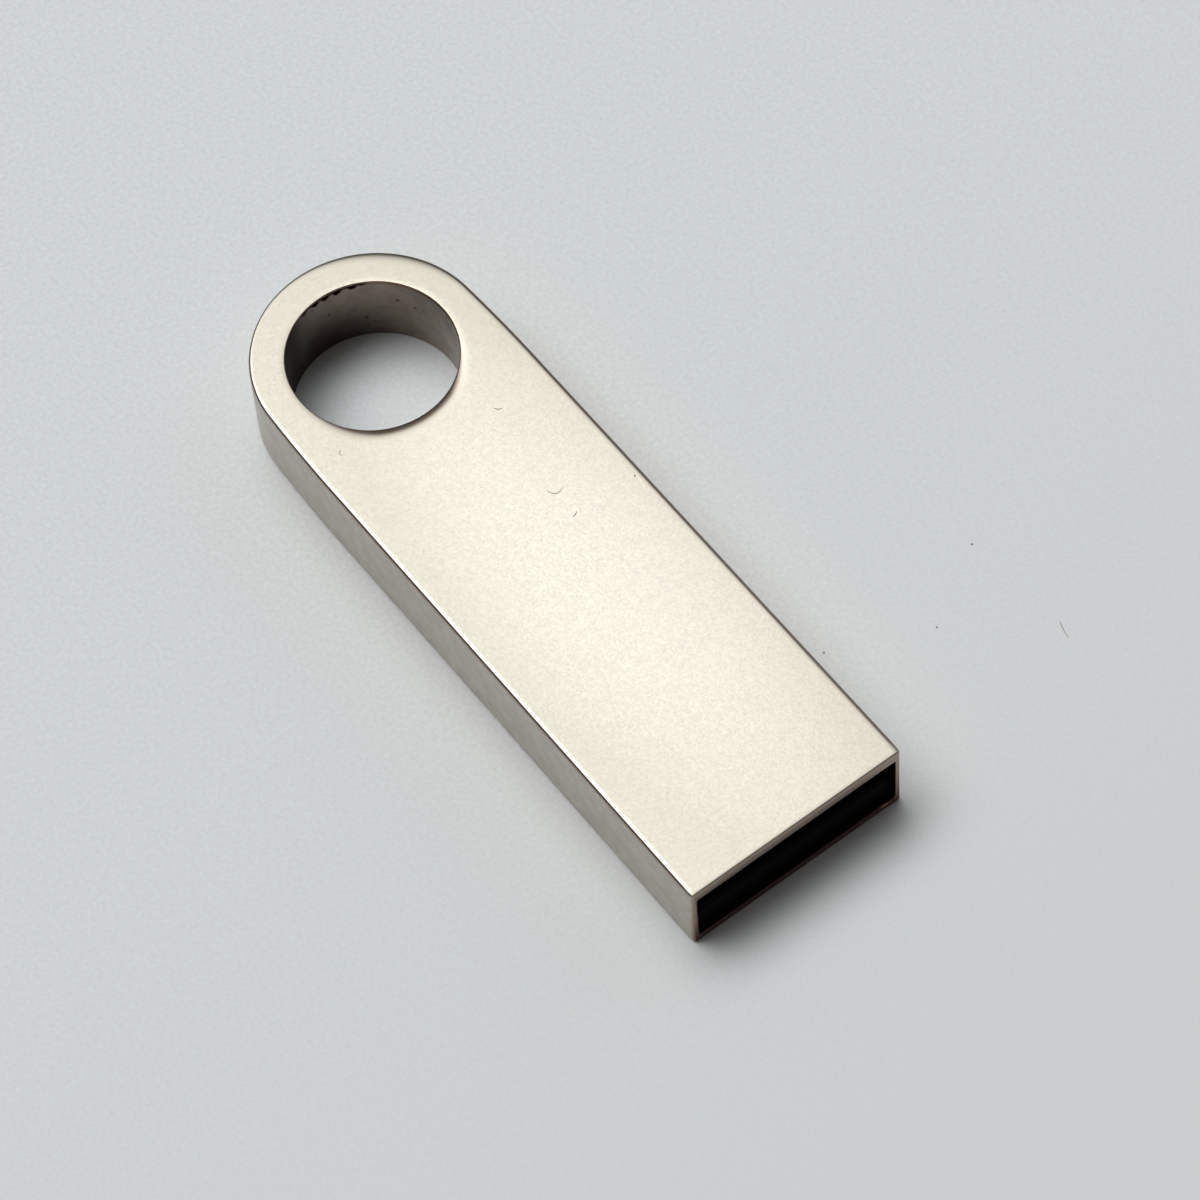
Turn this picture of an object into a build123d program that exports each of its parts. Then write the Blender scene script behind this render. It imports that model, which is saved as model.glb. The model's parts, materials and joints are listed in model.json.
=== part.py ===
from build123d import *
import math
import os

# Capless USB flash drive: a one-piece cast metal stick, hollow at the plug end, with a key-ring
# eye at the other, holding a moulded chip-on-board module in a plastic carrier.
# Millimetres. +X points out of the plug mouth, +Z is up and the contacts face +Z. The origin is
# the middle of the underside of the stick's bounding box.

# Casing
LENGTH = 39.0
WIDTH = 12.3
HEIGHT = 4.55
EYE_OUTER_RADIUS = 6.0        # round end, drawn about the middle of the eye
EYE_HOLE_RADIUS = 4.25
FLANK_BLEND_START = 5.0       # the straight flanks run from the mouth to this far before the eye
EDGE_RADIUS = 0.18            # rounding along every outer edge
EYE_RIM_RADIUS = 0.12
MOUTH_RIM_CHAMFER = 0.08
BROAD_WALL = 0.5              # wall above and below the plug cavity
SIDE_WALL = 0.35
CAVITY_CORNER_RADIUS = 0.25
CAVITY_END_X = -8.0

MOUTH_X = LENGTH / 2
EYE_X = EYE_OUTER_RADIUS - LENGTH / 2
CAVITY_WIDTH = WIDTH - 2 * SIDE_WALL
CAVITY_FLOOR_Z = BROAD_WALL
CAVITY_ROOF_Z = HEIGHT - BROAD_WALL

# Chip-on-board module
MODULE_LENGTH = 24.8
MODULE_WIDTH = 11.3
MODULE_THICKNESS = 1.4
SUBSTRATE_THICKNESS = 0.25
MODULE_CORNER_CHAMFER = 0.6
COPPER_THICKNESS = 0.03
PAD_PROUD = 0.03              # how far the plated pads stand above the contact face

# Carrier that the module lies on, and the block that holds it down
MOUTH_RECESS = 0.4            # the carrier's nose lies this far inside the mouth
CARRIER_FLOOR = 0.2
NOSE_THICKNESS = 0.35
NOSE_BELOW_CONTACTS = 0.15
REAR_BLOCK_LENGTH = 1.8
CARRIER_SIDE_PLAY = 0.1
CARRIER_EDGE_CHAMFER = 0.15   # clears the rounded corners of the cavity
CLAMP_FRONT_X = 7.0
CLAMP_ROOF_PLAY = 0.05        # taken up by crush ribs
PEG_RADIUS = 0.5
PEG_LENGTH = 1.1
PEG_Y = 3.6
CRUSH_RIB_WIDTH = 0.4
CRUSH_RIB_YS = (-3.0, 0.0, 3.0)
CLAMP_POCKET_YS = (-4.4, 4.4)  # pockets in the clamp's top keep its walls even
CLAMP_POCKET_WIDTH = 1.4
CLAMP_POCKET_FLOOR = 0.5
CLAMP_FEATURE_X = (-5.0, 5.5)  # the ribs and pockets run between these
GLUE_WIDTH = 8.0
GLUE_LENGTH = 5.0
GLUE_START_XS = (-4.5, 9.0)
GLUE_BEAD_INSET = 0.3

NOSE_X = MOUTH_X - MOUTH_RECESS
MODULE_FRONT_X = NOSE_X - NOSE_THICKNESS
MODULE_REAR_X = MODULE_FRONT_X - MODULE_LENGTH
MODULE_FLOOR_Z = CAVITY_FLOOR_Z + CARRIER_FLOOR
CONTACT_FACE_Z = MODULE_FLOOR_Z + MODULE_THICKNESS
WIRING_Z = CONTACT_FACE_Z - SUBSTRATE_THICKNESS     # underside of the substrate
CARRIER_WIDTH = CAVITY_WIDTH - 2 * CARRIER_SIDE_PLAY
REAR_BLOCK_X = MODULE_REAR_X - REAR_BLOCK_LENGTH
PEG_X = MODULE_REAR_X - REAR_BLOCK_LENGTH / 2

# Plug contacts: name -> (y, width, how far behind the module's front the pad starts).
# The outer pair starts first, so that power and ground meet the socket before the data pair.
CONTACTS = {
    "contact_vbus": (-3.5, 1.6, 1.3),
    "contact_data_minus": (-1.0, 1.2, 2.3),
    "contact_data_plus": (1.0, 1.2, 2.3),
    "contact_ground": (3.5, 1.6, 1.3),
}
CONTACT_CORNER_RADIUS = 0.2
CONTACT_END_X = MODULE_FRONT_X - 8.8
VIA_X = CONTACT_END_X + 0.45
VIA_RADIUS = 0.15
TEST_PAD_RADIUS = 0.45
TEST_PAD_PITCH = 1.5
TEST_PAD_ROWS = 2
TEST_PAD_COLUMNS = 6
TEST_PAD_MARGIN = 0.3         # free space round the test pads under the clamp block

# Memory and controller dies, hanging from the substrate inside the moulding
DIE_THICKNESS = 0.2
FILM_THICKNESS = 0.03
FLASH_LENGTH = 9.0
FLASH_WIDTH = 8.6
FLASH_FRONT_X = 4.0
FLASH_STEP = 0.5              # the outer die is set back to bare the inner die's pads
CONTROLLER_LENGTH = 3.0
CONTROLLER_WIDTH = 2.8
CONTROLLER_X = 7.7
WIRE_RADIUS = 0.02
WIRE_LOOP = 0.12
WIRE_FOOT = 0.06
FINGER_LENGTH = 0.4
FINGER_WIDTH = 0.14
TRACE_WIDTH = 0.1
FLASH_FINGER_X = 5.1
FLASH_FINGER_PITCH = 0.5
FLASH_WIRE_COUNT = 14
CONTROLLER_FINGER_Y = 2.1
CONTROLLER_FINGER_PITCH = 0.35
CONTROLLER_WIRES_PER_SIDE = 8
BUS_WIRES_PER_SIDE = 3

# Small components on the wiring side: (x, y) of each middle
END_CAP_LENGTH = 0.22
SOLDER_THICKNESS = 0.03
CAPACITOR_SIZE = (1.0, 0.5, 0.5)
CAPACITOR_PLACES = [(12.4, 3.9), (12.4, -3.9), (14.6, 3.9), (6.6, -4.4), (6.6, 4.4)]
RESISTOR_SIZE = (1.0, 0.5, 0.35)
RESISTOR_PLACES = [(12.4, 1.0), (12.4, -1.0), (14.6, -2.6)]
BEAD_SIZE = (1.6, 0.8, 0.6)
BEAD_PLACE = (14.7, -4.1)
CRYSTAL_SIZE = (2.0, 1.6, 0.45)
CRYSTAL_PLACE = (15.0, 0.8)
CRYSTAL_FOOT = (0.5, 0.5, SOLDER_THICKNESS)
CRYSTAL_FOOT_PITCH = (1.4, 1.0)


def block(x_range, y_range, z_range):
    """Box from its low and high corners on each axis."""
    size = [high - low for low, high in (x_range, y_range, z_range)]
    middle = [(low + high) / 2 for low, high in (x_range, y_range, z_range)]
    return Pos(*middle) * Box(*size)


def block_at(x, y, size, z_top):
    """Box hanging below z_top with its middle at x, y."""
    length, width, height = size
    return Pos(x, y, z_top - height / 2) * Box(length, width, height)


def spread(count, pitch):
    """Positions of evenly pitched items, centred on zero."""
    return [(i - (count - 1) / 2) * pitch for i in range(count)]


def stick_outline():
    """Plan of the casing: straight flanks, a long blend arc each side, a round end about the eye."""
    half = WIDTH / 2
    blend = FLANK_BLEND_START
    # The blend arc touches the flank at its start and the round end from outside.
    blend_radius = (blend**2 / (half - EYE_OUTER_RADIUS) + EYE_OUTER_RADIUS + half) / 2
    centre = Vector(blend, half - blend_radius)
    start = Vector(blend, half)
    end = -centre.normalized() * EYE_OUTER_RADIUS
    middle = centre + ((start - centre) + (end - centre)).normalized() * blend_radius
    front = MOUTH_X - EYE_X
    points = [Vector(front, half), start, middle, end, Vector(-EYE_OUTER_RADIUS, 0)]
    upper = [Vector(EYE_X + p.X, p.Y) for p in points]
    lower = [Vector(p.X, -p.Y) for p in upper]
    edges = [
        Line(upper[0], upper[1]),
        ThreePointArc(upper[1], upper[2], upper[3]),
        ThreePointArc(upper[3], upper[4], lower[3]),
        ThreePointArc(lower[3], lower[2], lower[1]),
        Line(lower[1], lower[0]),
        Line(lower[0], upper[0]),
    ]
    return make_face(edges)


def make_casing():
    """Cast shell: solid around the eye, open at the mouth."""
    body = extrude(stick_outline(), HEIGHT)
    flat_edges = body.edges().group_by(Axis.Z)[0] + body.edges().group_by(Axis.Z)[-1]
    mouth_corners = body.edges().filter_by(Axis.Z).group_by(Axis.X)[-1]
    body = fillet(flat_edges + mouth_corners, EDGE_RADIUS)
    body -= Pos(EYE_X, 0, HEIGHT / 2) * Cylinder(EYE_HOLE_RADIUS, 2 * HEIGHT)
    rims = body.edges().filter_by(GeomType.CIRCLE)
    rims = [e for e in rims if abs(e.radius - EYE_HOLE_RADIUS) < 1e-3]
    body = fillet(rims, EYE_RIM_RADIUS)
    cavity_face = Plane.YZ * RectangleRounded(
        CAVITY_WIDTH, CAVITY_ROOF_Z - CAVITY_FLOOR_Z, CAVITY_CORNER_RADIUS
    )
    cavity = Pos(CAVITY_END_X, 0, HEIGHT / 2) * extrude(cavity_face, MOUTH_X - CAVITY_END_X)
    body -= cavity
    mouth_face = body.faces().filter_by(Axis.X).sort_by(Axis.X)[-1]
    return chamfer(mouth_face.inner_wires()[0].edges(), MOUTH_RIM_CHAMFER)


def glue_pockets():
    """Two shallow pockets under the carrier floor; the glue fills them."""
    half = GLUE_WIDTH / 2
    z_range = (CAVITY_FLOOR_Z, CAVITY_FLOOR_Z + CARRIER_FLOOR / 2)
    return [block((x, x + GLUE_LENGTH), (-half, half), z_range) for x in GLUE_START_XS]


def rear_glue_bead():
    """Bead of epoxy between the cavity's end wall and the carrier."""
    half = GLUE_WIDTH / 2
    z_range = (CAVITY_FLOOR_Z + GLUE_BEAD_INSET, CONTACT_FACE_Z - GLUE_BEAD_INSET)
    return block((CAVITY_END_X, REAR_BLOCK_X), (-half, half), z_range)


def make_carrier_tray():
    """Tray with a nose that stops the module and a drilled block behind it."""
    half = CARRIER_WIDTH / 2
    floor = block((REAR_BLOCK_X, NOSE_X), (-half, half), (CAVITY_FLOOR_Z, MODULE_FLOOR_Z))
    nose_top = CONTACT_FACE_Z - NOSE_BELOW_CONTACTS
    nose = block((MODULE_FRONT_X, NOSE_X), (-half, half), (CAVITY_FLOOR_Z, nose_top))
    lip = nose.edges().filter_by(Axis.Y).sort_by(Axis.X)[-2:].sort_by(Axis.Z)[-1]
    nose = chamfer(lip, NOSE_THICKNESS / 2)
    rear = block((REAR_BLOCK_X, MODULE_REAR_X), (-half, half), (CAVITY_FLOOR_Z, CONTACT_FACE_Z))
    tray = floor + nose + rear
    underside = tray.edges().filter_by(Axis.X).group_by(Axis.Z)[0]
    tray = chamfer(underside, CARRIER_EDGE_CHAMFER)
    for y in (-PEG_Y, PEG_Y):
        hole_middle = CONTACT_FACE_Z - PEG_LENGTH / 2
        tray -= Pos(PEG_X, y, hole_middle) * Cylinder(PEG_RADIUS, PEG_LENGTH)
    for pocket in glue_pockets():
        tray -= pocket
    return tray


def make_clamp_block():
    """Block above the module's rear half, relieved over the test pads, with crush ribs on top."""
    half = CARRIER_WIDTH / 2
    roof = CAVITY_ROOF_Z - CLAMP_ROOF_PLAY
    clamp = block((REAR_BLOCK_X, CLAMP_FRONT_X), (-half, half), (CONTACT_FACE_Z, roof))
    front_edges = clamp.faces().sort_by(Axis.X)[-1].edges()
    top_edges = clamp.edges().filter_by(Axis.X).group_by(Axis.Z)[-1]
    clamp = chamfer(front_edges + top_edges, CARRIER_EDGE_CHAMFER)
    relief_x = TEST_PAD_COLUMNS * TEST_PAD_PITCH / 2 + TEST_PAD_MARGIN
    relief_y = TEST_PAD_ROWS * TEST_PAD_PITCH / 2 + TEST_PAD_MARGIN
    relief_z = (CONTACT_FACE_Z, CONTACT_FACE_Z + TEST_PAD_MARGIN)
    clamp -= block((-relief_x, relief_x), (-relief_y, relief_y), relief_z)
    reach = CLAMP_POCKET_WIDTH / 2
    for y in CLAMP_POCKET_YS:
        clamp -= block(CLAMP_FEATURE_X, (y - reach, y + reach), (CONTACT_FACE_Z + CLAMP_POCKET_FLOOR, roof))
    reach = CRUSH_RIB_WIDTH / 2
    for y in CRUSH_RIB_YS:
        clamp += block(CLAMP_FEATURE_X, (y - reach, y + reach), (roof, CAVITY_ROOF_Z))
    for y in (-PEG_Y, PEG_Y):
        peg_middle = CONTACT_FACE_Z - PEG_LENGTH / 2
        clamp += Pos(PEG_X, y, peg_middle) * Cylinder(PEG_RADIUS, PEG_LENGTH)
    return clamp


def module_slab(z_low, z_high):
    """The module's outline, with its front corners cut off, between two heights."""
    half = MODULE_WIDTH / 2
    slab = block((MODULE_REAR_X, MODULE_FRONT_X), (-half, half), (z_low, z_high))
    corners = slab.edges().filter_by(Axis.Z).sort_by(Axis.X)[-2:]
    return chamfer(corners, MODULE_CORNER_CHAMFER)


def make_contact(y, width, setback):
    """One gold-plated plug pad, half let into the substrate."""
    front_x = MODULE_FRONT_X - setback
    outline = RectangleRounded(front_x - CONTACT_END_X, width, CONTACT_CORNER_RADIUS)
    pad = extrude(outline, COPPER_THICKNESS + PAD_PROUD)
    return Pos((front_x + CONTACT_END_X) / 2, y, CONTACT_FACE_Z - COPPER_THICKNESS) * pad


def make_test_pads():
    """Rows of round factory test pads behind the plug contacts."""
    z_middle = CONTACT_FACE_Z - COPPER_THICKNESS / 2 + PAD_PROUD / 2
    pad = Cylinder(TEST_PAD_RADIUS, COPPER_THICKNESS + PAD_PROUD)
    return [
        Pos(x, y, z_middle) * pad
        for x in spread(TEST_PAD_COLUMNS, TEST_PAD_PITCH)
        for y in spread(TEST_PAD_ROWS, TEST_PAD_PITCH)
    ]


def make_vias():
    """Plated holes that take each contact down to the wiring side."""
    low = WIRING_Z + COPPER_THICKNESS
    high = CONTACT_FACE_Z - COPPER_THICKNESS
    post = Cylinder(VIA_RADIUS, high - low)
    return [Pos(VIA_X, y, (low + high) / 2) * post for y, *_ in CONTACTS.values()]


def copper(x_range, y_range):
    """Flat copper let into the wiring side of the substrate."""
    return block(x_range, y_range, (WIRING_Z, WIRING_Z + COPPER_THICKNESS))


def flash_finger_ys():
    return spread(FLASH_WIRE_COUNT, FLASH_FINGER_PITCH)


def controller_finger_xs():
    return [CONTROLLER_X + x for x in spread(CONTROLLER_WIRES_PER_SIDE, CONTROLLER_FINGER_PITCH)]


def make_bond_fingers():
    """Copper landings for the bond wires: a row by the memory, one each side of the controller."""
    long = FINGER_LENGTH / 2
    short = FINGER_WIDTH / 2
    fingers = [
        copper((FLASH_FINGER_X - long, FLASH_FINGER_X + long), (y - short, y + short))
        for y in flash_finger_ys()
    ]
    for side in (-1, 1):
        y = side * CONTROLLER_FINGER_Y
        fingers += [
            copper((x - short, x + short), (y - long, y + long)) for x in controller_finger_xs()
        ]
    return fingers


def elbow(start, corner, end):
    """L-shaped copper trace: along X from start to corner, then along Y to end."""
    half = TRACE_WIDTH / 2
    x_low, x_high = sorted((start[0], corner[0]))
    y_low, y_high = sorted((corner[1], end[1]))
    sign = math.copysign(1, start[0] - corner[0])
    along_x = (x_low - half, x_high) if sign > 0 else (x_low, x_high + half)
    first = copper(along_x, (start[1] - half, start[1] + half))
    return first + copper((corner[0] - half, corner[0] + half), (y_low, y_high))


def make_copper_traces():
    """Memory bus from the flash fingers to the controller, and one trace to each plug contact."""
    bus_start = FLASH_FINGER_X + FINGER_LENGTH / 2
    inner_end = CONTROLLER_FINGER_Y - FINGER_LENGTH / 2
    outer_end = CONTROLLER_FINGER_Y + FINGER_LENGTH / 2
    xs = controller_finger_xs()
    traces = []
    for side in (-1, 1):
        for i in range(BUS_WIRES_PER_SIDE):
            y = side * FLASH_FINGER_PITCH * (i + 0.5)
            x = xs[BUS_WIRES_PER_SIDE - 1 - i]
            traces.append(elbow((bus_start, y), (x, y), (x, side * inner_end)))
        power_y = side * CONTACTS["contact_ground"][0]
        traces.append(elbow((VIA_X, power_y), (xs[3], power_y), (xs[3], side * outer_end)))
        data_y = side * CONTACTS["contact_data_plus"][0]
        turn_x = CONTROLLER_X + CONTROLLER_LENGTH / 2 + 0.2
        data = elbow((VIA_X, data_y), (turn_x, data_y), (turn_x, side * CONTROLLER_FINGER_Y))
        last_finger = xs[-1] + FINGER_WIDTH / 2
        half = TRACE_WIDTH / 2
        y = side * CONTROLLER_FINGER_Y
        traces.append(data + copper((last_finger, turn_x + half), (y - half, y + half)))
    return traces


def flash_die(level):
    """One memory die; level 0 is next to the substrate, level 1 hangs below it, set back."""
    top = WIRING_Z - FILM_THICKNESS - level * (DIE_THICKNESS + FILM_THICKNESS)
    x = FLASH_FRONT_X - FLASH_LENGTH / 2 - level * FLASH_STEP
    return block_at(x, 0, (FLASH_LENGTH, FLASH_WIDTH, DIE_THICKNESS), top)


def make_controller_die():
    size = (CONTROLLER_LENGTH, CONTROLLER_WIDTH, DIE_THICKNESS)
    return block_at(CONTROLLER_X, 0, size, WIRING_Z - FILM_THICKNESS)


def make_die_films():
    """Adhesive film above each die."""
    films = []
    for die in (flash_die(0), flash_die(1), make_controller_die()):
        box = die.bounding_box()
        z_range = (box.max.Z, box.max.Z + FILM_THICKNESS)
        films.append(block((box.min.X, box.max.X), (box.min.Y, box.max.Y), z_range))
    return films


def bond_wire(pad, finger):
    """Gold wire from a die pad down round a loop and up to its finger; both are (x, y, z)."""
    loop = (pad[0], pad[1], pad[2] - WIRE_LOOP)
    foot = (finger[0], finger[1], finger[2] - WIRE_FOOT)
    path = Polyline(pad, loop, foot, finger)
    section = Plane(origin=pad, z_dir=(0, 0, -1)) * Circle(WIRE_RADIUS)
    return sweep(section, path=path, transition=Transition.RIGHT)


def make_flash_wires():
    """Wires from both memory dies, turn about, to the row of fingers in front of them."""
    wires = []
    for i, y in enumerate(flash_finger_ys()):
        level = i % 2
        die = flash_die(level).bounding_box()
        pad = (die.max.X - FLASH_STEP / 2, y, die.min.Z)
        wires.append(bond_wire(pad, (FLASH_FINGER_X, y, WIRING_Z)))
    return wires


def make_controller_wires():
    """Wires from both long edges of the controller."""
    die = make_controller_die().bounding_box()
    wires = []
    for side in (-1, 1):
        for x in controller_finger_xs():
            pad = (x, side * (die.max.Y - FLASH_STEP / 2), die.min.Z)
            wires.append(bond_wire(pad, (x, side * CONTROLLER_FINGER_Y, WIRING_Z)))
    return wires


def chip(size, place):
    """Body, two end caps and two solder joints of one two-ended chip component."""
    length, width, height = size
    x, y = place
    top = WIRING_Z - SOLDER_THICKNESS
    body = block_at(x, y, (length - 2 * END_CAP_LENGTH, width, height), top)
    reach = (length - END_CAP_LENGTH) / 2
    caps = [block_at(x + s * reach, y, (END_CAP_LENGTH, width, height), top) for s in (-1, 1)]
    joint = (END_CAP_LENGTH, width, SOLDER_THICKNESS)
    joints = [block_at(x + s * reach, y, joint, WIRING_Z) for s in (-1, 1)]
    return body, caps, joints


def make_chips():
    """Every two-ended chip component, sorted into nodes, with the crystal and its joints."""
    groups = [
        ("decoupling_capacitors", CAPACITOR_SIZE, CAPACITOR_PLACES),
        ("resistors", RESISTOR_SIZE, RESISTOR_PLACES),
        ("ferrite_bead", BEAD_SIZE, [BEAD_PLACE]),
    ]
    nodes = {"component_end_caps": [], "solder_joints": []}
    for name, size, places in groups:
        nodes[name] = []
        for place in places:
            body, caps, joints = chip(size, place)
            nodes[name].append(body)
            nodes["component_end_caps"] += caps
            nodes["solder_joints"] += joints
    x, y = CRYSTAL_PLACE
    nodes["clock_crystal"] = [block_at(x, y, CRYSTAL_SIZE, WIRING_Z - SOLDER_THICKNESS)]
    for dx in spread(2, CRYSTAL_FOOT_PITCH[0]):
        for dy in spread(2, CRYSTAL_FOOT_PITCH[1]):
            nodes["solder_joints"].append(block_at(x + dx, y + dy, CRYSTAL_FOOT, WIRING_Z))
    return nodes


def build():
    """Every node of the drive by name."""
    nodes = {
        "casing": [make_casing()],
        "carrier_tray": [make_carrier_tray()],
        "clamp_block": [make_clamp_block()],
        "adhesive_pads": glue_pockets() + [rear_glue_bead()],
    }
    for name, layout in CONTACTS.items():
        nodes[name] = [make_contact(*layout)]
    wiring = {
        "test_pads": make_test_pads(),
        "plated_vias": make_vias(),
        "bond_fingers": make_bond_fingers(),
        "copper_traces": make_copper_traces(),
    }
    substrate = module_slab(WIRING_Z, CONTACT_FACE_Z)
    metal = sum(wiring.values(), []) + [nodes[name][0] for name in CONTACTS]
    nodes["substrate"] = [substrate.cut(*metal)]
    potted = {
        "flash_die_inner": [flash_die(0)],
        "flash_die_outer": [flash_die(1)],
        "controller_die": [make_controller_die()],
        "die_attach_films": make_die_films(),
        "flash_bond_wires": make_flash_wires(),
        "controller_bond_wires": make_controller_wires(),
        **make_chips(),
    }
    moulding = module_slab(MODULE_FLOOR_Z, WIRING_Z)
    nodes["mould_cap"] = [moulding.cut(*sum(potted.values(), []))]
    return {**nodes, **wiring, **potted}


os.makedirs("parts", exist_ok=True)
for node, solids in build().items():
    shape = solids[0] if len(solids) == 1 else Compound(children=[Part(s.wrapped) for s in solids])
    export_step(shape, f"parts/{node}.step")
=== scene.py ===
import json
import math
import random

import bmesh
import bpy
from mathutils import Matrix, Vector, noise


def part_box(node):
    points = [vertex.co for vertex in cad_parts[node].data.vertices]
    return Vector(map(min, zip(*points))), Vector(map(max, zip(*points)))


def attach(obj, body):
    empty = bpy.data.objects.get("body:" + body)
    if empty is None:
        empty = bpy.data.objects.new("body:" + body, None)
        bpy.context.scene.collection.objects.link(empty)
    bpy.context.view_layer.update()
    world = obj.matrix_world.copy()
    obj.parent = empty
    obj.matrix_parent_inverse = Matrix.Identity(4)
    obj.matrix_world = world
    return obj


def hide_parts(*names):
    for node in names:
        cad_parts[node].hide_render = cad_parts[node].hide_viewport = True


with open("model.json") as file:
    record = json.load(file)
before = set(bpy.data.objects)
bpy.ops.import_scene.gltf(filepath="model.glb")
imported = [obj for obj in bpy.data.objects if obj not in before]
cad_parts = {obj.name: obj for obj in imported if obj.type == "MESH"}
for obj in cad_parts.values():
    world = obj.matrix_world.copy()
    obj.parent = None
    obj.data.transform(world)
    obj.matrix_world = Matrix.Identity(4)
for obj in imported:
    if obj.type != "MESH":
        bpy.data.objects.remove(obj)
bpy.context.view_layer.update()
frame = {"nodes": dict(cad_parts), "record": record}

# Lengths are in metres, as in the CAD frame. +X points out of the plug mouth and +Z is up.
MM = 0.001

# ---------------------------------------------------------------- sizes taken from the frame
SHELL_LOW, SHELL_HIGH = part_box("casing")
TRAY_LOW, TRAY_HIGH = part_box("carrier_tray")
EYE = next(m for m in frame["record"]["mounts"] if m["name"] == "key_ring_eye")
EYE_X = EYE["pos_m"][0]
EYE_RADIUS = EYE["dims"]["r_mm"] * MM
END_RADIUS = EYE_X - SHELL_LOW.x
HALF_WIDTH = SHELL_HIGH.y
HEIGHT = SHELL_HIGH.z
MOUTH_X = SHELL_HIGH.x
CAVITY_FLOOR = TRAY_LOW.z
CAVITY_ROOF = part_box("clamp_block")[1].z
CAVITY_HALF_WIDTH = TRAY_HIGH.y + 0.1 * MM
CAVITY_END_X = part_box("adhesive_pads")[0].x

# ---------------------------------------------------------------- outer edges
FLANK_BLEND = 5.0 * MM          # the flanks start to curve in this far before the eye's middle
TUBE_END_X = EYE_X + FLANK_BLEND + 1.5 * MM     # the straight part ends here, just before that
EDGE_RADIUS = 0.215 * MM
EDGE_SHOULDER = (1.6 * MM, 3.4 * MM)        # extra radius where the flat ends, on the -Y and +Y sides
END_SHOULDER = 10.0 * MM                    # more of it round the eye end, on the +Y side
SHOULDER_FADE = math.radians(3.2)           # tilt over which a shoulder tightens
END_FADE = 0.6                  # how much slower the shoulder fades there
END_THINNING = 0.65             # how much tighter the edge's radius is round the eye end
POLISHED_TILT = math.radians(12)            # an edge is fully polished from here on

# ---------------------------------------------------------------- the eye
RIM_RADIUS = 0.05 * MM
RIM_SHOULDER = (10.0 * MM, 6.5 * MM)        # round most of the eye's rim, and at its worn side
RIM_FADE = (math.radians(1.8), math.radians(5.6))
RIM_STEPS = 24
WORN_TOWARDS = math.radians(-5)             # the key ring wears the rim on the stick's side
WORN_WIDENING = 1.25            # above 1, more of that side is fully worn
WORN_CHAMFER = 2.6 * MM         # extra radius of curvature of the slope it has worn there
CHAMFER_TILT = math.radians(10.5)
CHAMFER_SPREAD = math.radians(1.6)
CHIPS = (                       # chipped plating under the rim: direction (degrees), reach down (mm)
    (151, 0.22), (157.5, 0.39), (168, 0.44), (176.5, 0.44), (184.5, 0.40), (194.5, 0.30),
)
CHIP_HALF_WIDTH = 4.3           # degrees
CHIP_LINE = 0.21                # mm, how far down the dark line between the chips reaches
CHIP_DEPTH = 0.12 * MM          # how far the wall is set back in a chip
CHIP_LIP = 0.06 * MM            # sound metal left above them
CHIP_FROM = math.radians(146)
CHIP_TO = math.radians(206)
CHIP_MARGIN = 0.05              # radians of fine mesh beyond the chips

# ---------------------------------------------------------------- the mouth
MOUTH_EDGE_RADIUS = 0.06 * MM
MOUTH_SHOULDER = 3.0 * MM
MOUTH_CORNER_GROWTH = 1.9       # the mouth's upright edges are rounder by this share
OPENING_CORNER = 0.12 * MM      # radius of the opening's corners
OPENING_EDGE = 0.05 * MM        # rounding of the opening's edge
ROOF_FLASH = 0.22 * MM          # how far the casting hangs into the mouth along its top
FLASH_DEPTH = 0.8 * MM          # how far into the mouth that casting flash reaches
RAGGEDNESS = 0.07 * MM          # how far the opening's sides stray
CAVITY_DEPTHS = (0.07, 0.15, 0.3, 0.6, 1.2, 2.5, 6.0, 12.0, 20.0)      # mm behind the mouth
# the cavity's walls are painted near black: painted shade inside the mouth
CAVITY_SHADE = 0.9

# ---------------------------------------------------------------- light
# A slope is a horizontal part of a ray's direction divided by its upward part.
BOX_SLOPE = (-0.505, -0.17)     # the strip box's middle in X and Y
BOX_CORE = (0.09, 0.05)         # half-widths at full strength
BOX_REACH = (0.56, 0.98)        # half-widths where it ends
BOX_GLOW = 5.85
FILL_TOWARDS = (-0.87, 0.5, 0.0)
FILL_GLOW = 0.10
SIDE_TOWARDS = (-0.07, 0.83, 0.56)
SIDE_CONE = (0.1, 0.5)          # radians from its middle, full strength and end
SIDE_GLOW = 0.5
CARD_TOWARDS = (0.68, -0.68, 0.26)          # a card seen only in reflections, for views from behind
CARD_COSINES = (0.97, 0.80)     # of the angle from its middle, full strength and end
CARD_GLOW = 0.55
HORIZON_BAND = (0.12, 0.42)     # Z of a ray's direction up to which the low band is full, and its end

# ---------------------------------------------------------------- camera
CAMERA_AZIMUTH = math.radians(-32.859)      # from +X
CAMERA_ELEVATION = math.radians(59.178)
CAMERA_ROLL = math.radians(-5.221)
CAMERA_DISTANCE = 274.58 * MM
CAMERA_AIM = Vector((3.223, 0.945, 2.275)) * MM
CAMERA_LENS = 173.77            # mm on a 36 mm sensor


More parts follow.
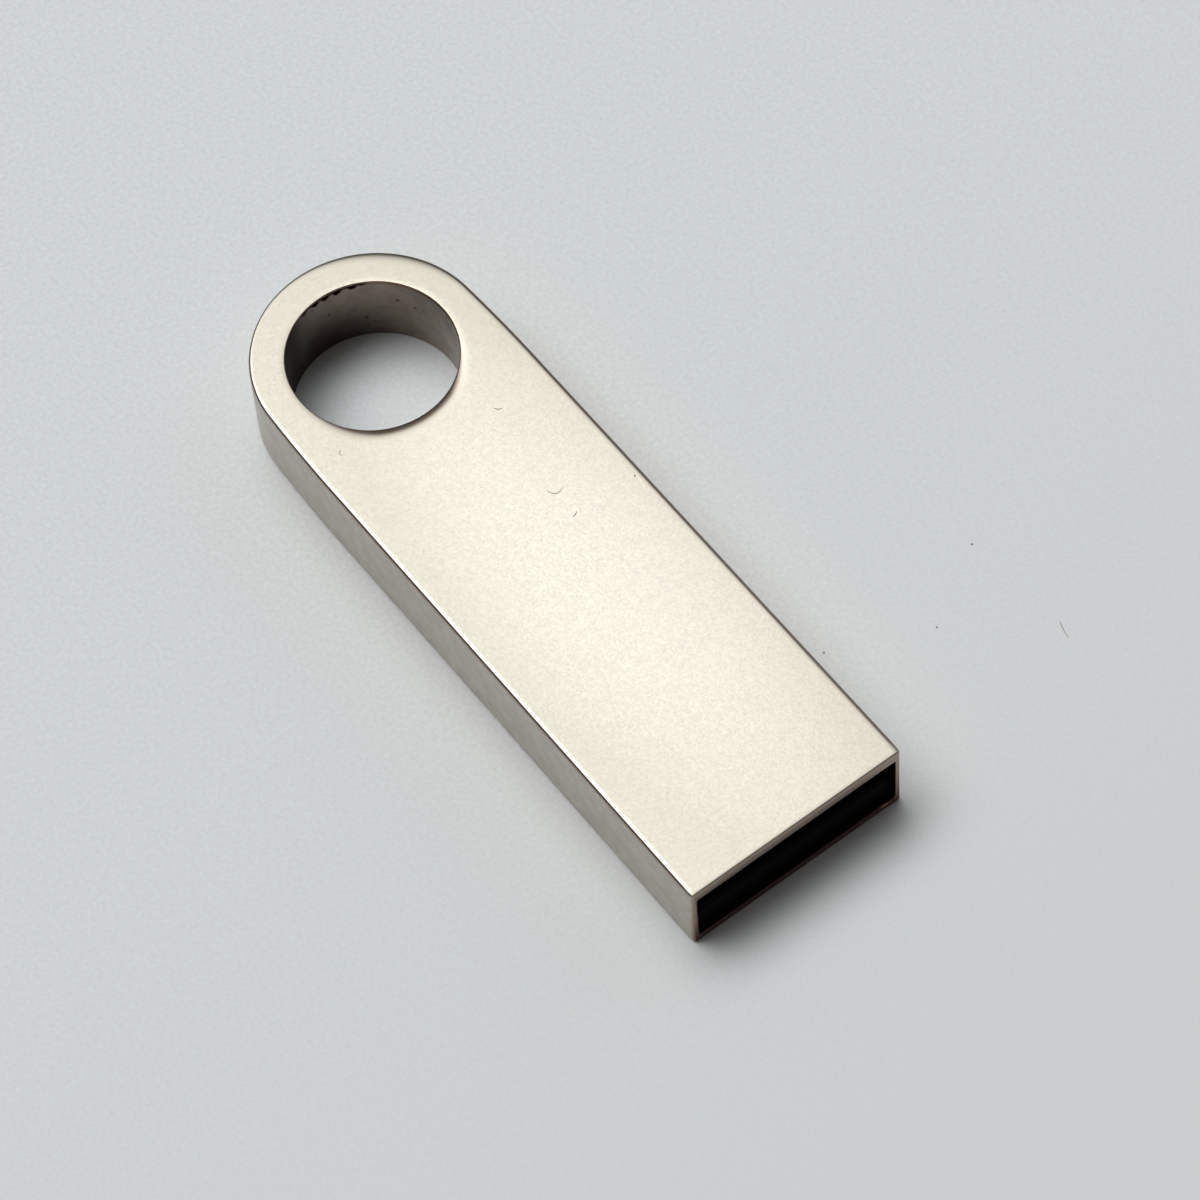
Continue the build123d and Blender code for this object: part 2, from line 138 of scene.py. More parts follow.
# ================================================================ node helpers
class Graph:
    """Short hand for building a node tree."""

    def __init__(self, tree):
        self.tree = tree
        tree.nodes.clear()

    def node(self, kind, inputs=(), **settings):
        """New node; inputs is a dict of socket name or index to a value or another socket."""
        made = self.tree.nodes.new(kind)
        for key, value in settings.items():
            setattr(made, key, value)
        for key, value in dict(inputs).items():
            self.feed(made.inputs[key], value)
        return made

    def feed(self, socket, value):
        if isinstance(value, bpy.types.NodeSocket):
            self.tree.links.new(value, socket)
        else:
            socket.default_value = value

    def math(self, operation, *values):
        return self.node("ShaderNodeMath", dict(enumerate(values)), operation=operation).outputs[0]

    def vector(self, operation, *values):
        """Vector arithmetic; returns the node, whose result is a vector or a number."""
        return self.node("ShaderNodeVectorMath", dict(enumerate(values)), operation=operation)

    def ramp(self, value, low, high, to_low=0.0, to_high=1.0):
        """Smooth step of value from low..high to to_low..to_high."""
        keys = {"Value": value, "From Min": low, "From Max": high, "To Min": to_low, "To Max": to_high}
        made = self.node("ShaderNodeMapRange", keys, interpolation_type="SMOOTHSTEP")
        return made.outputs["Result"]

    def mix(self, factor, a, b):
        """Blend of two colours."""
        made = self.node("ShaderNodeMix", {"Factor": factor}, data_type="RGBA")
        self.feed(made.inputs[6], a)
        self.feed(made.inputs[7], b)
        return made.outputs[2]

    def noise(self, where, size, detail=2.0, roughness=0.5):
        """Noise whose features are about size metres across, from 0 to 1."""
        keys = {"Vector": where, "Scale": 1 / size, "Detail": detail, "Roughness": roughness}
        return self.node("ShaderNodeTexNoise", keys).outputs["Fac"]

    def specks(self, where, spacing, radius, share):
        """Scattered round specks: 1 inside one, 0 outside. share of the cells hold one."""
        cells = self.node("ShaderNodeTexVoronoi", {"Vector": where, "Scale": 1 / spacing})
        near = self.ramp(cells.outputs["Distance"], radius / spacing, 0.5 * radius / spacing)
        pick = self.node("ShaderNodeSeparateColor", {"Color": cells.outputs["Color"]}).outputs[0]
        return self.math("MULTIPLY", near, self.math("LESS_THAN", pick, share))

    def glow(self, colour, strength):
        return self.node("ShaderNodeBackground", {"Color": colour, "Strength": strength}).outputs[0]

    def bump(self, height, depth, strength=1.0, normal=None):
        keys = {"Height": height, "Distance": depth, "Strength": strength}
        if normal is not None:
            keys["Normal"] = normal
        return self.node("ShaderNodeBump", keys).outputs["Normal"]


def rgb(r, g, b):
    return (r, g, b, 1.0)


def new_material(name):
    material = bpy.data.materials.new(name)
    material.use_nodes = True
    graph = Graph(material.node_tree)
    where = graph.node("ShaderNodeTexCoord").outputs["Object"]
    return material, graph, where


def finish_material(graph, **inputs):
    """Principled surface from the named inputs (underscores stand for spaces)."""
    keys = {name.replace("_", " "): value for name, value in inputs.items()}
    shader = graph.node("ShaderNodeBsdfPrincipled", keys)
    graph.node("ShaderNodeOutputMaterial", {"Surface": shader.outputs["BSDF"]})


# ================================================================ shell mesh
def edge_profile(radius, shoulder, fade, chamfer=0.0, steps=22):
    """Rounded edge from a flat top (tilt 0) to an upright side (tilt 90 degrees).

    The radius of curvature starts at radius + shoulder and falls quickly to radius, which gives the
    soft polished roll-off beside the edge. A chamfer adds a longer run near CHAMFER_TILT.
    Returns (reach inwards, drop, tilt) from top to side.
    """
    count = 400                         # steps of the sum
    reach, drop, rows = 0.0, 0.0, [(0.0, 0.0, 0.0)]
    for i in range(count):
        tilt = math.pi / 2 * (i + 0.5) / count
        curve = radius + shoulder * math.exp(-tilt / fade)
        curve += chamfer * math.exp(-((tilt - CHAMFER_TILT) / CHAMFER_SPREAD) ** 2)
        reach += curve * math.cos(tilt) * math.pi / 2 / count
        drop += curve * math.sin(tilt) * math.pi / 2 / count
        rows.append((reach, drop, math.pi / 2 * (i + 1) / count))
    crowding = 1.7                      # the rows are closer together near the flat
    picks = [rows[round(count * (i / steps) ** crowding)] for i in range(steps + 1)]
    return [(reach - across, down, tilt) for across, down, tilt in picks]


def blend(pair, share):
    """Between the pair's first value (share 0) and its second (share 1)."""
    return pair[0] + (pair[1] - pair[0]) * share


def flank_profile(out):
    """Profile of a flank from the top's flat to the underside's: (inset, z, tilt) rows.

    out is the flank's outward direction in plan.
    """
    share = (out.y + 1) / 2
    back = max(0.0, -out.x)
    radius = EDGE_RADIUS * (1 - END_THINNING * back**0.7)
    soft = share**2 * back
    shoulder = blend(EDGE_SHOULDER, share) + END_SHOULDER * soft
    top = edge_profile(radius, shoulder, SHOULDER_FADE * (1 + END_FADE * soft))
    upper = [(inset, HEIGHT - drop, tilt) for inset, drop, tilt in top]
    lower = [(inset, drop, math.pi - tilt) for inset, drop, tilt in reversed(top)]
    return upper + lower


def plan_stations():
    """Points and outward directions round the stick's plan, from one mouth corner to the other."""
    half, run = HALF_WIDTH, FLANK_BLEND
    radius = (run**2 / (half - END_RADIUS) + END_RADIUS + half) / 2
    centre = Vector((run, half - radius))
    turn = math.atan2(-centre.y, -centre.x)         # direction of the tangent point on the end arc
    rows = []
    blend_steps, end_steps = 28, 72
    for i in range(blend_steps):
        angle = math.pi / 2 + (turn - math.pi / 2) * i / blend_steps
        out = Vector((math.cos(angle), math.sin(angle)))
        rows.append((centre + out * radius, out))
    for i in range(end_steps + 1):
        angle = turn + (math.pi - turn) * i / end_steps
        out = Vector((math.cos(angle), math.sin(angle)))
        rows.append((out * END_RADIUS, out))
    upper = [(Vector((EYE_X + p.x, p.y)), out) for p, out in rows]
    lower = [(Vector((p.x, -p.y)), Vector((out.x, -out.y))) for p, out in reversed(upper[:-1])]
    return upper + lower


class ShellBuilder:
    """Builds the casing's skin: outer tube, round end, eye, mouth rim and cavity, all one mesh."""

    TOP_STEPS = 10                # points across the flat of the top and of the underside

    def __init__(self):
        self.mesh = bmesh.new()
        self.polish = {}
        self.bore = {}
        self.chips_and_shade = {}
        self.near = flank_profile(Vector((0, -1)))
        self.far = flank_profile(Vector((0, 1)))

    def vertex(self, x, y, z, polish=0.0, bore=0.0, chips_and_shade=0.0):
        """New vertex with its marks for the material, each from 0 to 1."""
        made = self.mesh.verts.new((x, y, z))
        self.polish[made] = polish
        self.bore[made] = bore
        self.chips_and_shade[made] = chips_and_shade
        return made

    def bridge(self, a, b, closed=True):
        """Quads between two rows of the same length."""
        count = len(a) if closed else len(a) - 1
        for i in range(count):
            j = (i + 1) % len(a)
            self.mesh.faces.new((a[i], a[j], b[j], b[i]))

    @staticmethod
    def edge_polish(tilt):
        """1 on the rounding, fading to 0 on the flats."""
        lean = min(tilt, abs(math.pi / 2 - tilt), math.pi - tilt)
        return min(1.0, lean / POLISHED_TILT)

    def flank_row(self, point, out):
        """Vertices down a flank at one station."""
        row = []
        for inset, z, tilt in flank_profile(out):
            place = point - out * inset
            marks = self.edge_polish(tilt), 0, edge_shade(tilt, out.y)
            row.append(self.vertex(place.x, place.y, z, *marks))
        return row

    def section_points(self):
        """The outer cross-section as (y, z, outward y, outward z), the +Y flank first."""
        rows = []
        for inset, z, tilt in self.far:
            rows.append((HALF_WIDTH - inset, z, math.sin(tilt), math.cos(tilt)))
        far_flat = HALF_WIDTH - self.far[0][0]
        near_flat = self.near[0][0] - HALF_WIDTH
        for i in range(1, self.TOP_STEPS):
            rows.append((far_flat + (near_flat - far_flat) * i / self.TOP_STEPS, 0.0, 0.0, -1.0))
        for inset, z, tilt in reversed(self.near):
            rows.append((inset - HALF_WIDTH, z, -math.sin(tilt), math.cos(tilt)))
        for i in range(1, self.TOP_STEPS):
            rows.append((near_flat + (far_flat - near_flat) * i / self.TOP_STEPS, HEIGHT, 0.0, 1.0))
        return rows

    def opening_points(self, grow):
        """The mouth's opening, matched point for point to section_points, grown by grow."""
        corner = OPENING_CORNER
        reach = CAVITY_HALF_WIDTH - corner
        high, low = CAVITY_ROOF - corner, CAVITY_FLOOR + corner
        size = corner + grow
        rows = []

        def corner_point(side, tilt):
            z = high if tilt < math.pi / 2 else low
            rows.append((side * (reach + size * math.sin(tilt)), z + size * math.cos(tilt)))

        half = len(self.near) // 2
        tilts = [tilt for _, _, tilt in self.near]
        for i, tilt in enumerate(tilts):
            corner_point(1, min(tilt, math.pi / 2 - 1e-6) if i < half else max(tilt, math.pi / 2))
        for i in range(1, self.TOP_STEPS):
            rows.append((reach - 2 * reach * i / self.TOP_STEPS, low - size))
        for i, tilt in reversed(list(enumerate(tilts))):
            corner_point(-1, min(tilt, math.pi / 2 - 1e-6) if i < half else max(tilt, math.pi / 2))
        for i in range(1, self.TOP_STEPS):
            rows.append((2 * reach * i / self.TOP_STEPS - reach, high + size))
        return rows

    def tube(self):
        """Straight part from the mouth to the round end; returns its first and last loops."""
        section = self.section_points()
        loops = []
        edge = edge_profile(MOUTH_EDGE_RADIUS, MOUTH_SHOULDER, SHOULDER_FADE, steps=12)
        for back, inset, tilt in reversed(edge):
            loop = []
            for y, z, ny, nz in section:
                grow = 1 + MOUTH_CORNER_GROWTH * ny * ny
                y, z = y - inset * grow * ny, z - inset * grow * nz
                # tilt is 0 on the skin and a right angle on the rim, where the rim's painted shade is
                # full;
                # it gets there later along the top
                turn = math.sin(tilt) ** (3 if z > HEIGHT / 2 else 1)
                loop.append(self.vertex(MOUTH_X - back * grow, y, z, 0, 0, turn * rim_shade(y, z)))
            loops.append(loop)
        tilts = [math.atan2(abs(ny), nz) for _, _, ny, nz in section]
        marks = [(self.edge_polish(t), edge_shade(t, ny)) for t, (_, _, ny, _) in zip(tilts, section)]
        stops = [MOUTH_X - 0.8 * MM, MOUTH_X - 4 * MM, 9 * MM, 3 * MM, -3 * MM, TUBE_END_X]
        for x in stops:
            loops.append([
                self.vertex(x, y, z, polish, 0, chips_and_shade)
                for (y, z, _, _), (polish, chips_and_shade) in zip(section, marks)
            ])
        for a, b in zip(loops, loops[1:]):
            self.bridge(b, a)
        return loops[0], loops[-1]

    def mouth(self, rim):
        """Rim face, rounded opening edge and the cavity behind it."""
        face_polish, rounding_polish = 0.6, 0.8
        share = 0.4                     # where the middle loop is between the rim and the opening
        ragged = self.flash(self.opening_points(OPENING_EDGE), MOUTH_X)
        middle = [
            (blend((corner.co.y, y), share), blend((corner.co.z, z), share))
            for corner, (y, z) in zip(rim, ragged)
        ]
        loops = [rim]
        for rows in (middle, ragged):
            loops.append([self.vertex(MOUTH_X, y, z, face_polish, 0, rim_shade(y, z)) for y, z in rows])
        steps = 4
        for i in range(1, steps + 1):
            turn = math.pi / 2 * i / steps
            rows = self.opening_points(OPENING_EDGE * (1 - math.sin(turn)))
            x = MOUTH_X - OPENING_EDGE * (1 - math.cos(turn))
            loops.append([
                self.vertex(x, y, z, rounding_polish, 0, blend((rim_shade(y, z), CAVITY_SHADE), i / steps))
                for y, z in self.flash(rows, x)
            ])
        # The cavity's walls are painted near black, as painted shade.
        for depth in CAVITY_DEPTHS:
            x = MOUTH_X - depth * MM
            rows = self.flash(self.opening_points(0), x)
            loops.append([self.vertex(x, y, z, 0, 1, CAVITY_SHADE) for y, z in rows])
        rows = self.opening_points(0)
        loops.append([self.vertex(CAVITY_END_X, y, z, 0, 1, CAVITY_SHADE) for y, z in rows])
        for a, b in zip(loops, loops[1:]):
            self.bridge(b, a)
        self.mesh.faces.new(loops[-1])

    @staticmethod
    def flash(rows, x):
        """Flash left by the casting die at the mouth: a lowered roof edge and ragged sides.

        The raggedness is strongest on the +Y side.
        """
        fade = max(0.0, 1 - (MOUTH_X - x) / FLASH_DEPTH)
        moved = []
        for y, z in rows:
            side = 1.0 if y > CAVITY_HALF_WIDTH - OPENING_CORNER else 0.15
            wave = noise.noise(Vector((y, z, 0)) / (0.9 * MM))
            wave += 0.4 * noise.noise(Vector((y, z, 7 * MM)) / (0.3 * MM))
            shift = RAGGEDNESS * side * fade * wave
            above = z > (CAVITY_ROOF + CAVITY_FLOOR) / 2
            lift = -ROOF_FLASH * fade - 0.5 * shift if above else 0.5 * shift
            moved.append((y - math.copysign(shift, y), z + lift))
        return moved

    def eye_rings(self):
        """Rings of the eye from the top's flat down through it to the underside's flat."""
        depths = [0.02 * MM * i for i in range(1, 29)]          # fine rows where the wall is chipped
        depths += [0.8 * MM, 1.4 * MM, 2.4 * MM, 3.4 * MM]
        columns = []
        for angle in self.eye_angles():
            worn = min(1.0, WORN_WIDENING * max(0.0, math.cos(angle - WORN_TOWARDS)) ** 2)
            shoulder, fade = blend(RIM_SHOULDER, worn), blend(RIM_FADE, worn)
            top = edge_profile(RIM_RADIUS, shoulder, fade, worn * WORN_CHAMFER, RIM_STEPS)
            rows = [(inset, HEIGHT - drop, tilt) for inset, drop, tilt in top]
            under = [(inset, drop, tilt) for inset, drop, tilt in reversed(top)]
            first_z, last_z = rows[-1][1], under[0][1]
            wall = [(0.0, first_z - depth, math.pi / 2) for depth in depths]
            column = []
            for inset, z, tilt in rows + wall + under:
                is_wall = last_z <= z <= first_z
                chip = chip_share(angle, first_z - z) if is_wall else 0.0
                radius = EYE_RADIUS + inset + CHIP_DEPTH * chip
                x, y = EYE_X + radius * math.cos(angle), radius * math.sin(angle)
                if is_wall:
                    marks = 0.0, 1.0, max(chip, wall_shade_line(angle, first_z - z))
                else:
                    marks = worn * self.edge_polish(tilt), 0.0, lip_shade(tilt, worn)
                column.append(self.vertex(x, y, z, *marks))
            columns.append(column)
        rings = list(zip(*columns))
        for a, b in zip(rings, rings[1:]):
            self.bridge(a, b)
        return list(rings[0]), list(rings[-1])

    @staticmethod
    def eye_angles():
        """Directions round the eye, closer together where the rim is chipped."""
        angles, angle = [], 0.0
        while angle < 2 * math.pi - 1e-6:
            angles.append(angle)
            chipped = CHIP_FROM - CHIP_MARGIN < angle < CHIP_TO + CHIP_MARGIN
            angle += math.radians(0.3 if chipped else 2.0)
        return angles

    def round_end(self, section):
        """Outer skin round the eye end; returns the loops that bound the flats there.

        section holds the +Y flank, the underside's flat, the -Y flank and the top's flat.
        """
        count, between = len(self.near), self.TOP_STEPS - 1
        rows = [section[:count]]
        rows += [self.flank_row(point, out) for point, out in plan_stations()]
        rows.append(section[count + between: 2 * count + between][::-1])
        for a, b in zip(rows, rows[1:]):
            self.bridge(a, b, closed=False)
        top = [row[0] for row in rows] + section[2 * count + between:]
        under = [row[-1] for row in rows] + section[count: count + between][::-1]
        return top, under

    def flat(self, outer, ring):
        """Fills the flat between the outer loop and the eye's ring."""
        edges = []
        for loop in (outer, ring):
            for a, b in zip(loop, loop[1:] + loop[:1]):
                edge = self.mesh.edges.get((a, b)) or self.mesh.edges.new((a, b))
                edges.append(edge)
        bmesh.ops.triangle_fill(self.mesh, edges=edges, use_beauty=True, use_dissolve=False)

    def build(self):
        rim, section = self.tube()
        self.mouth(rim)
        top, under = self.round_end(section)
        upper_ring, lower_ring = self.eye_rings()
        self.flat(top, upper_ring)
        self.flat(under, lower_ring)
        bmesh.ops.recalc_face_normals(self.mesh, faces=self.mesh.faces)
        data = bpy.data.meshes.new("casing_shell")
        self.mesh.to_mesh(data)
        for name, values in (("polish", self.polish), ("bore", self.bore), ("chips_and_shade", self.chips_and_shade)):
            layer = data.attributes.new(name, "FLOAT", "POINT")
            layer.data.foreach_set("value", [values[v] for v in self.mesh.verts])
        self.mesh.free()
        data.shade_smooth()
        piece = bpy.data.objects.new("casing_shell", data)
        bpy.context.scene.collection.objects.link(piece)
        weighted = piece.modifiers.new("even_normals", "WEIGHTED_NORMAL")
        weighted.keep_sharp = True
        weighted.weight = 90
        return piece


def chip_share(angle, below):
    """1 where the plating under the eye's rim is chipped black, 0 elsewhere."""
    if not CHIP_FROM < angle < CHIP_TO or below < CHIP_LIP:
        return 0.0
    fade = math.sin(math.pi * (angle - CHIP_FROM) / (CHIP_TO - CHIP_FROM)) ** 0.4
    reach = CHIP_LINE * fade
    for centre, depth in CHIPS:
        away = (math.degrees(angle) - centre) / CHIP_HALF_WIDTH
        reach = max(reach, depth * (1 - away**2))
    ragged = 0.05 * noise.noise(Vector((angle * EYE_RADIUS / (0.13 * MM), 9.1, 0)))       # mm
    edge = (reach + ragged * fade) * MM
    return min(1.0, max(0.0, (edge - below) / (0.04 * MM)))


def wall_shade_line(angle, below):
    """Thin painted line of shade round the top of the eye's bore, except on its darkest side."""
    share = min(1.0, max(0.0, (math.sin(angle) + 0.45) / 0.3))          # 0 on the -Y side
    strength = 0.32 + 0.3 * max(0.0, math.cos(angle - math.radians(55))) ** 2
    middle, reach = 0.08 * MM, 0.17 * MM
    return share * strength * max(0.0, 1 - abs(below - middle) / reach)


def lip_shade(tilt, worn):
    """Painted shade on the eye's rim: a dark line along its edge, a thin film on the worn side, both
    standing in for dark reflections.
    """
    film = 0.08 * worn * min(1.0, tilt / math.radians(6))
    line = 0.3 * min(1.0, max(0.0, tilt / math.radians(12) - 0.7))
    return film + line


def rim_shade(y, z):
    """Painted shade on the mouth's rim: a thin film over all of it, heaviest along the lower edge, with
    a faint painted dark line along the top.
    """
    film = 0.12
    if abs(y) < CAVITY_HALF_WIDTH:
        film = 0.10 + 0.10 * max(0.0, 1 - abs(HEIGHT - 0.3 * MM - z) / (0.2 * MM))
    lower = 0.42 * max(0.0, 1 - z / (0.75 * MM)) ** 0.4
    return film + lower


def edge_shade(tilt, side):
    """Painted darkening on the outer half of a rounded edge, standing in for its dark reflection,
    slightly stronger on the +Y side.
    """
    lean = min(tilt, math.pi - tilt)
    return (0.18 + 0.06 * side) * max(0.0, math.sin(2 * lean)) ** 0.5 * math.sin(lean)


# ================================================================ materials
def satin_nickel():
    """Fine satin nickel: polished along its edges, duller and pitted in the eye's bore."""
    material, graph, where = new_material("satin_nickel")
    polish = graph.node("ShaderNodeAttribute", attribute_name="polish").outputs["Fac"]
    bore = graph.node("ShaderNodeAttribute", attribute_name="bore").outputs["Fac"]
    chips_and_shade = graph.node("ShaderNodeAttribute", attribute_name="chips_and_shade").outputs["Fac"]
    place = graph.node("ShaderNodeSeparateXYZ", {"Vector": where})
    facing = graph.node("ShaderNodeNewGeometry").outputs["Normal"]
    upward = graph.node("ShaderNodeSeparateXYZ", {"Vector": facing}).outputs["Z"]
    forward = graph.node("ShaderNodeSeparateXYZ", {"Vector": facing}).outputs["X"]
    upright = graph.ramp(graph.math("ABSOLUTE", upward), 0.5, 0.1)
    flank = graph.math("MULTIPLY", upright, graph.ramp(forward, 0.8, 0.4))
    cloud = graph.noise(where, 6 * MM, 3)
    grain = graph.noise(where, 0.09 * MM, 2, 0.6)
    mottle = graph.noise(where, 0.8 * MM, 3, 0.6)
    pits = graph.specks(where, 0.6 * MM, 0.10 * MM, 0.7)
    specks = graph.specks(where, 2.3 * MM, 0.06 * MM, 0.6)

    # The skin, with cast flanks painted lighter as a painted reflection. away is 0 near the middle of
    # the top and 1 on an ellipse close to its edges, painted duller: a painted falloff of the highlight.
    offset = graph.vector("SUBTRACT", where, (3 * MM, 1 * MM, 0.0)).outputs["Vector"]
    offset = graph.vector("MULTIPLY", offset, (1 / (17 * MM), 1 / (5.6 * MM), 0.0)).outputs["Vector"]
    away = graph.vector("LENGTH", offset).outputs["Value"]
    # painted highlight falloff: the top is painted darker towards that ellipse
    painted_falloff = graph.math("MULTIPLY", graph.math("MULTIPLY", away, away), 0.75)
    face = graph.mix(cloud, rgb(0.435, 0.421, 0.373), rgb(0.445, 0.432, 0.382))
    face = graph.mix(painted_falloff, face, rgb(0.365, 0.349, 0.302))
    # painted reflection: the upright flanks get a lighter, mottled copy of the nickel
    flank_painted_lighter = graph.mix(graph.ramp(mottle, 0.35, 0.65), rgb(0.468, 0.437, 0.387), rgb(0.552, 0.514, 0.454))
    face = graph.mix(flank, face, flank_painted_lighter)
    face = graph.mix(graph.ramp(grain, 0.3, 0.7, 0.0, 0.33), face, rgb(0.365, 0.35, 0.307))
    face = graph.mix(graph.math("MULTIPLY", specks, 0.5), face, rgb(0.12, 0.10, 0.08))

    # The bore's wall, painted lightest towards +X and +Y and darkest towards -Y and low down: painted
    # light and shade.
    side = graph.math("ADD", place.outputs["X"], place.outputs["Y"])
    right = graph.ramp(side, EYE_X - 6 * MM, EYE_X + 3 * MM)
    wall = graph.mix(right, rgb(0.34, 0.285, 0.245), rgb(0.44, 0.365, 0.315))
    wall = graph.mix(graph.ramp(side, EYE_X + 2.0 * MM, EYE_X + 5.6 * MM), wall, rgb(0.60, 0.53, 0.47))
    wall = graph.mix(graph.ramp(mottle, 0.35, 0.7, 0.0, 0.3), wall, rgb(0.16, 0.11, 0.09))
    # painted shade low down in the bore and on its -Y side
    lower = graph.ramp(place.outputs["Z"], 4.6 * MM, 0.9 * MM, 0.0, 0.9)
    painted_shade_side = graph.ramp(place.outputs["Y"], -0.6 * MM, -2.5 * MM)
    lit = graph.math("MAXIMUM", right, painted_shade_side)
    lower = graph.math("MULTIPLY", lower, graph.math("SUBTRACT", 1.0, graph.math("MULTIPLY", lit, 0.8)))
    wall = graph.mix(lower, wall, rgb(0.05, 0.028, 0.024))
    wall = graph.mix(graph.math("MULTIPLY", painted_shade_side, 0.9), wall, rgb(0.025, 0.017, 0.015))
    wall = graph.mix(graph.math("MULTIPLY", pits, 0.8), wall, rgb(0.03, 0.02, 0.02))

    # Chipped plating and painted shade over both: brown, then dark, then black.
    colour = graph.mix(bore, face, wall)
    colour = graph.mix(graph.ramp(chips_and_shade, 0.0, 0.2), colour, rgb(0.36, 0.265, 0.20))
    colour = graph.mix(graph.ramp(chips_and_shade, 0.2, 0.5), colour, rgb(0.09, 0.042, 0.032))
    colour = graph.mix(graph.ramp(chips_and_shade, 0.5, 1.0), colour, rgb(0.003, 0.003, 0.003))

    # Grain in the sheen and the bump fades out where the metal is polished.
    spread = graph.ramp(polish, 0.0, 0.2, 0.04, 0.0)
    roughness = graph.math("MULTIPLY", graph.ramp(grain, 0.3, 0.7, -1.0, 1.0), spread)
    roughness = graph.math("ADD", roughness, 0.36)
    roughness = graph.math("SUBTRACT", roughness, graph.math("MULTIPLY", polish, 0.20))
    roughness = graph.math("ADD", roughness, graph.math("MULTIPLY", bore, 0.10))
    fine = graph.bump(grain, 0.0012 * MM, graph.ramp(polish, 0.0, 0.1, 0.4, 0.0))
    broad = graph.bump(mottle, graph.math("MULTIPLY", bore, 0.01 * MM), 0.5, fine)
    normal = graph.bump(graph.math("MULTIPLY", pits, bore), -0.03 * MM, 1.0, broad)
    finish_material(
        graph, Base_Color=colour, Metallic=graph.ramp(chips_and_shade, 0.3, 1.0, 1.0, 0.0),
        Roughness=roughness, Normal=normal, Specular_IOR_Level=0.1,
    )
    return material


def moulded(name, colour, lighter, roughness, shine=0.5):
    """Moulded plastic, resin or ceramic with a fine matt grain and cloudy colour."""
    material, graph, where = new_material(name)
    cloud = graph.noise(where, 2.5 * MM, 3)
    grain = graph.noise(where, 0.08 * MM, 3, 0.6)
    scuffs = graph.specks(where, 1.1 * MM, 0.05 * MM, 0.3)
    tint = graph.mix(cloud, colour, lighter)
    tint = graph.mix(graph.math("MULTIPLY", scuffs, 0.25), tint, rgb(0.1, 0.1, 0.1))
    rough = graph.ramp(grain, 0.3, 0.7, roughness - 0.06, roughness + 0.06)
    finish_material(
        graph, Base_Color=tint, Roughness=rough, Specular_IOR_Level=shine,
        Normal=graph.bump(grain, 0.004 * MM, 0.6),
    )
    return material


def plated(name, colour, worn, roughness, streak=0.35):
    """Thin metal plate or foil with fine lengthways scratches and slight wear."""
    material, graph, where = new_material(name)
    stretched = graph.node("ShaderNodeMapping", {"Vector": where, "Scale": (0.06, 1.0, 1.0)})
    scratches = graph.noise(stretched.outputs["Vector"], 0.05 * MM, 3, 0.7)
    cloud = graph.noise(where, 1.2 * MM, 3)
    tint = graph.mix(graph.ramp(cloud, 0.45, 0.75, 0.0, 0.6), colour, worn)
    tint = graph.mix(graph.ramp(scratches, 0.55, 0.8, 0.0, streak), tint, worn)
    rough = graph.ramp(scratches, 0.3, 0.75, roughness, roughness + 0.15)
    normal = graph.bump(scratches, 0.002 * MM, 0.5)
    finish_material(graph, Base_Color=tint, Metallic=1.0, Roughness=rough, Normal=normal)
    return material


def clear_glue():
    """Cured amber epoxy with small bubbles."""
    material, graph, where = new_material("amber_epoxy")
    bubbles = graph.specks(where, 0.6 * MM, 0.09 * MM, 0.5)
    cloud = graph.noise(where, 1.5 * MM, 2)
    tint = graph.mix(cloud, rgb(0.42, 0.27, 0.08), rgb(0.56, 0.40, 0.16))
    tint = graph.mix(graph.math("MULTIPLY", bubbles, 0.5), tint, rgb(0.75, 0.66, 0.45))
    finish_material(
        graph, Base_Color=tint, Roughness=graph.ramp(cloud, 0.3, 0.7, 0.12, 0.25),
        Normal=graph.bump(bubbles, 0.02 * MM, 0.6), Transmission_Weight=0.35,
    )
    return material


def paper():
    """Pale matt board under the object: a fine tooth, with painted light that leaves it lighter towards
    -X and beside the flanks.
    """
    material, graph, where = new_material("pale_board")
    tooth = graph.noise(where, 0.22 * MM, 3, 0.6)
    cloud = graph.noise(where, 18 * MM, 3)
    place = graph.node("ShaderNodeSeparateXYZ", {"Vector": where})
    across = place.outputs["X"]
    aside = graph.math("ABSOLUTE", place.outputs["Y"])
    # Painted light beside the flanks, standing in for light they reflect onto the board, stronger on the
    # +Y side.
    outer, inner = graph.ramp(aside, 13 * MM, 6.5 * MM), graph.ramp(aside, 4.5 * MM, 6 * MM)
    middle = graph.ramp(graph.math("ABSOLUTE", across), 24 * MM, 8 * MM)
    flank_bounce_light = graph.math("MULTIPLY", graph.math("MULTIPLY", outer, inner), middle)
    bounce_share = graph.ramp(place.outputs["Y"], 0.0, 6 * MM, 0.33, 0.6)
    tint = graph.mix(cloud, rgb(0.797, 0.859, 0.891), rgb(0.817, 0.879, 0.906))
    # painted light falloff: the board is darker towards +X
    tint = graph.mix(graph.ramp(across, -40 * MM, 60 * MM, 0.0, 0.7), tint, rgb(0.677, 0.722, 0.737))
    tint = graph.mix(graph.math("MULTIPLY", flank_bounce_light, bounce_share), tint, rgb(0.93, 0.92, 0.88))
    tint = graph.mix(graph.ramp(tooth, 0.3, 0.7, 0.0, 0.8), tint, rgb(0.725, 0.763, 0.779))
    finish_material(
        graph, Base_Color=tint, Roughness=0.55, Specular_IOR_Level=0.25,
        Normal=graph.bump(tooth, 0.012 * MM, 0.4),
    )
    return material


def paint(node, material, bevel=0.0):
    """Gives a carried-over CAD node its finish, and a fine rounding if bevel is set."""
    piece = frame["nodes"][node]
    piece.data.materials.clear()
    piece.data.materials.append(material)
    if bevel:
        soften = piece.modifiers.new("soft_edges", "BEVEL")
        soften.width = bevel
        soften.segments = 3
        soften.limit_method = "ANGLE"
        soften.angle_limit = math.radians(35)
        soften.harden_normals = False


# ================================================================ the drive
shell = ShellBuilder().build()
shell.data.materials.append(satin_nickel())
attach(shell, "root")
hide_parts("casing")

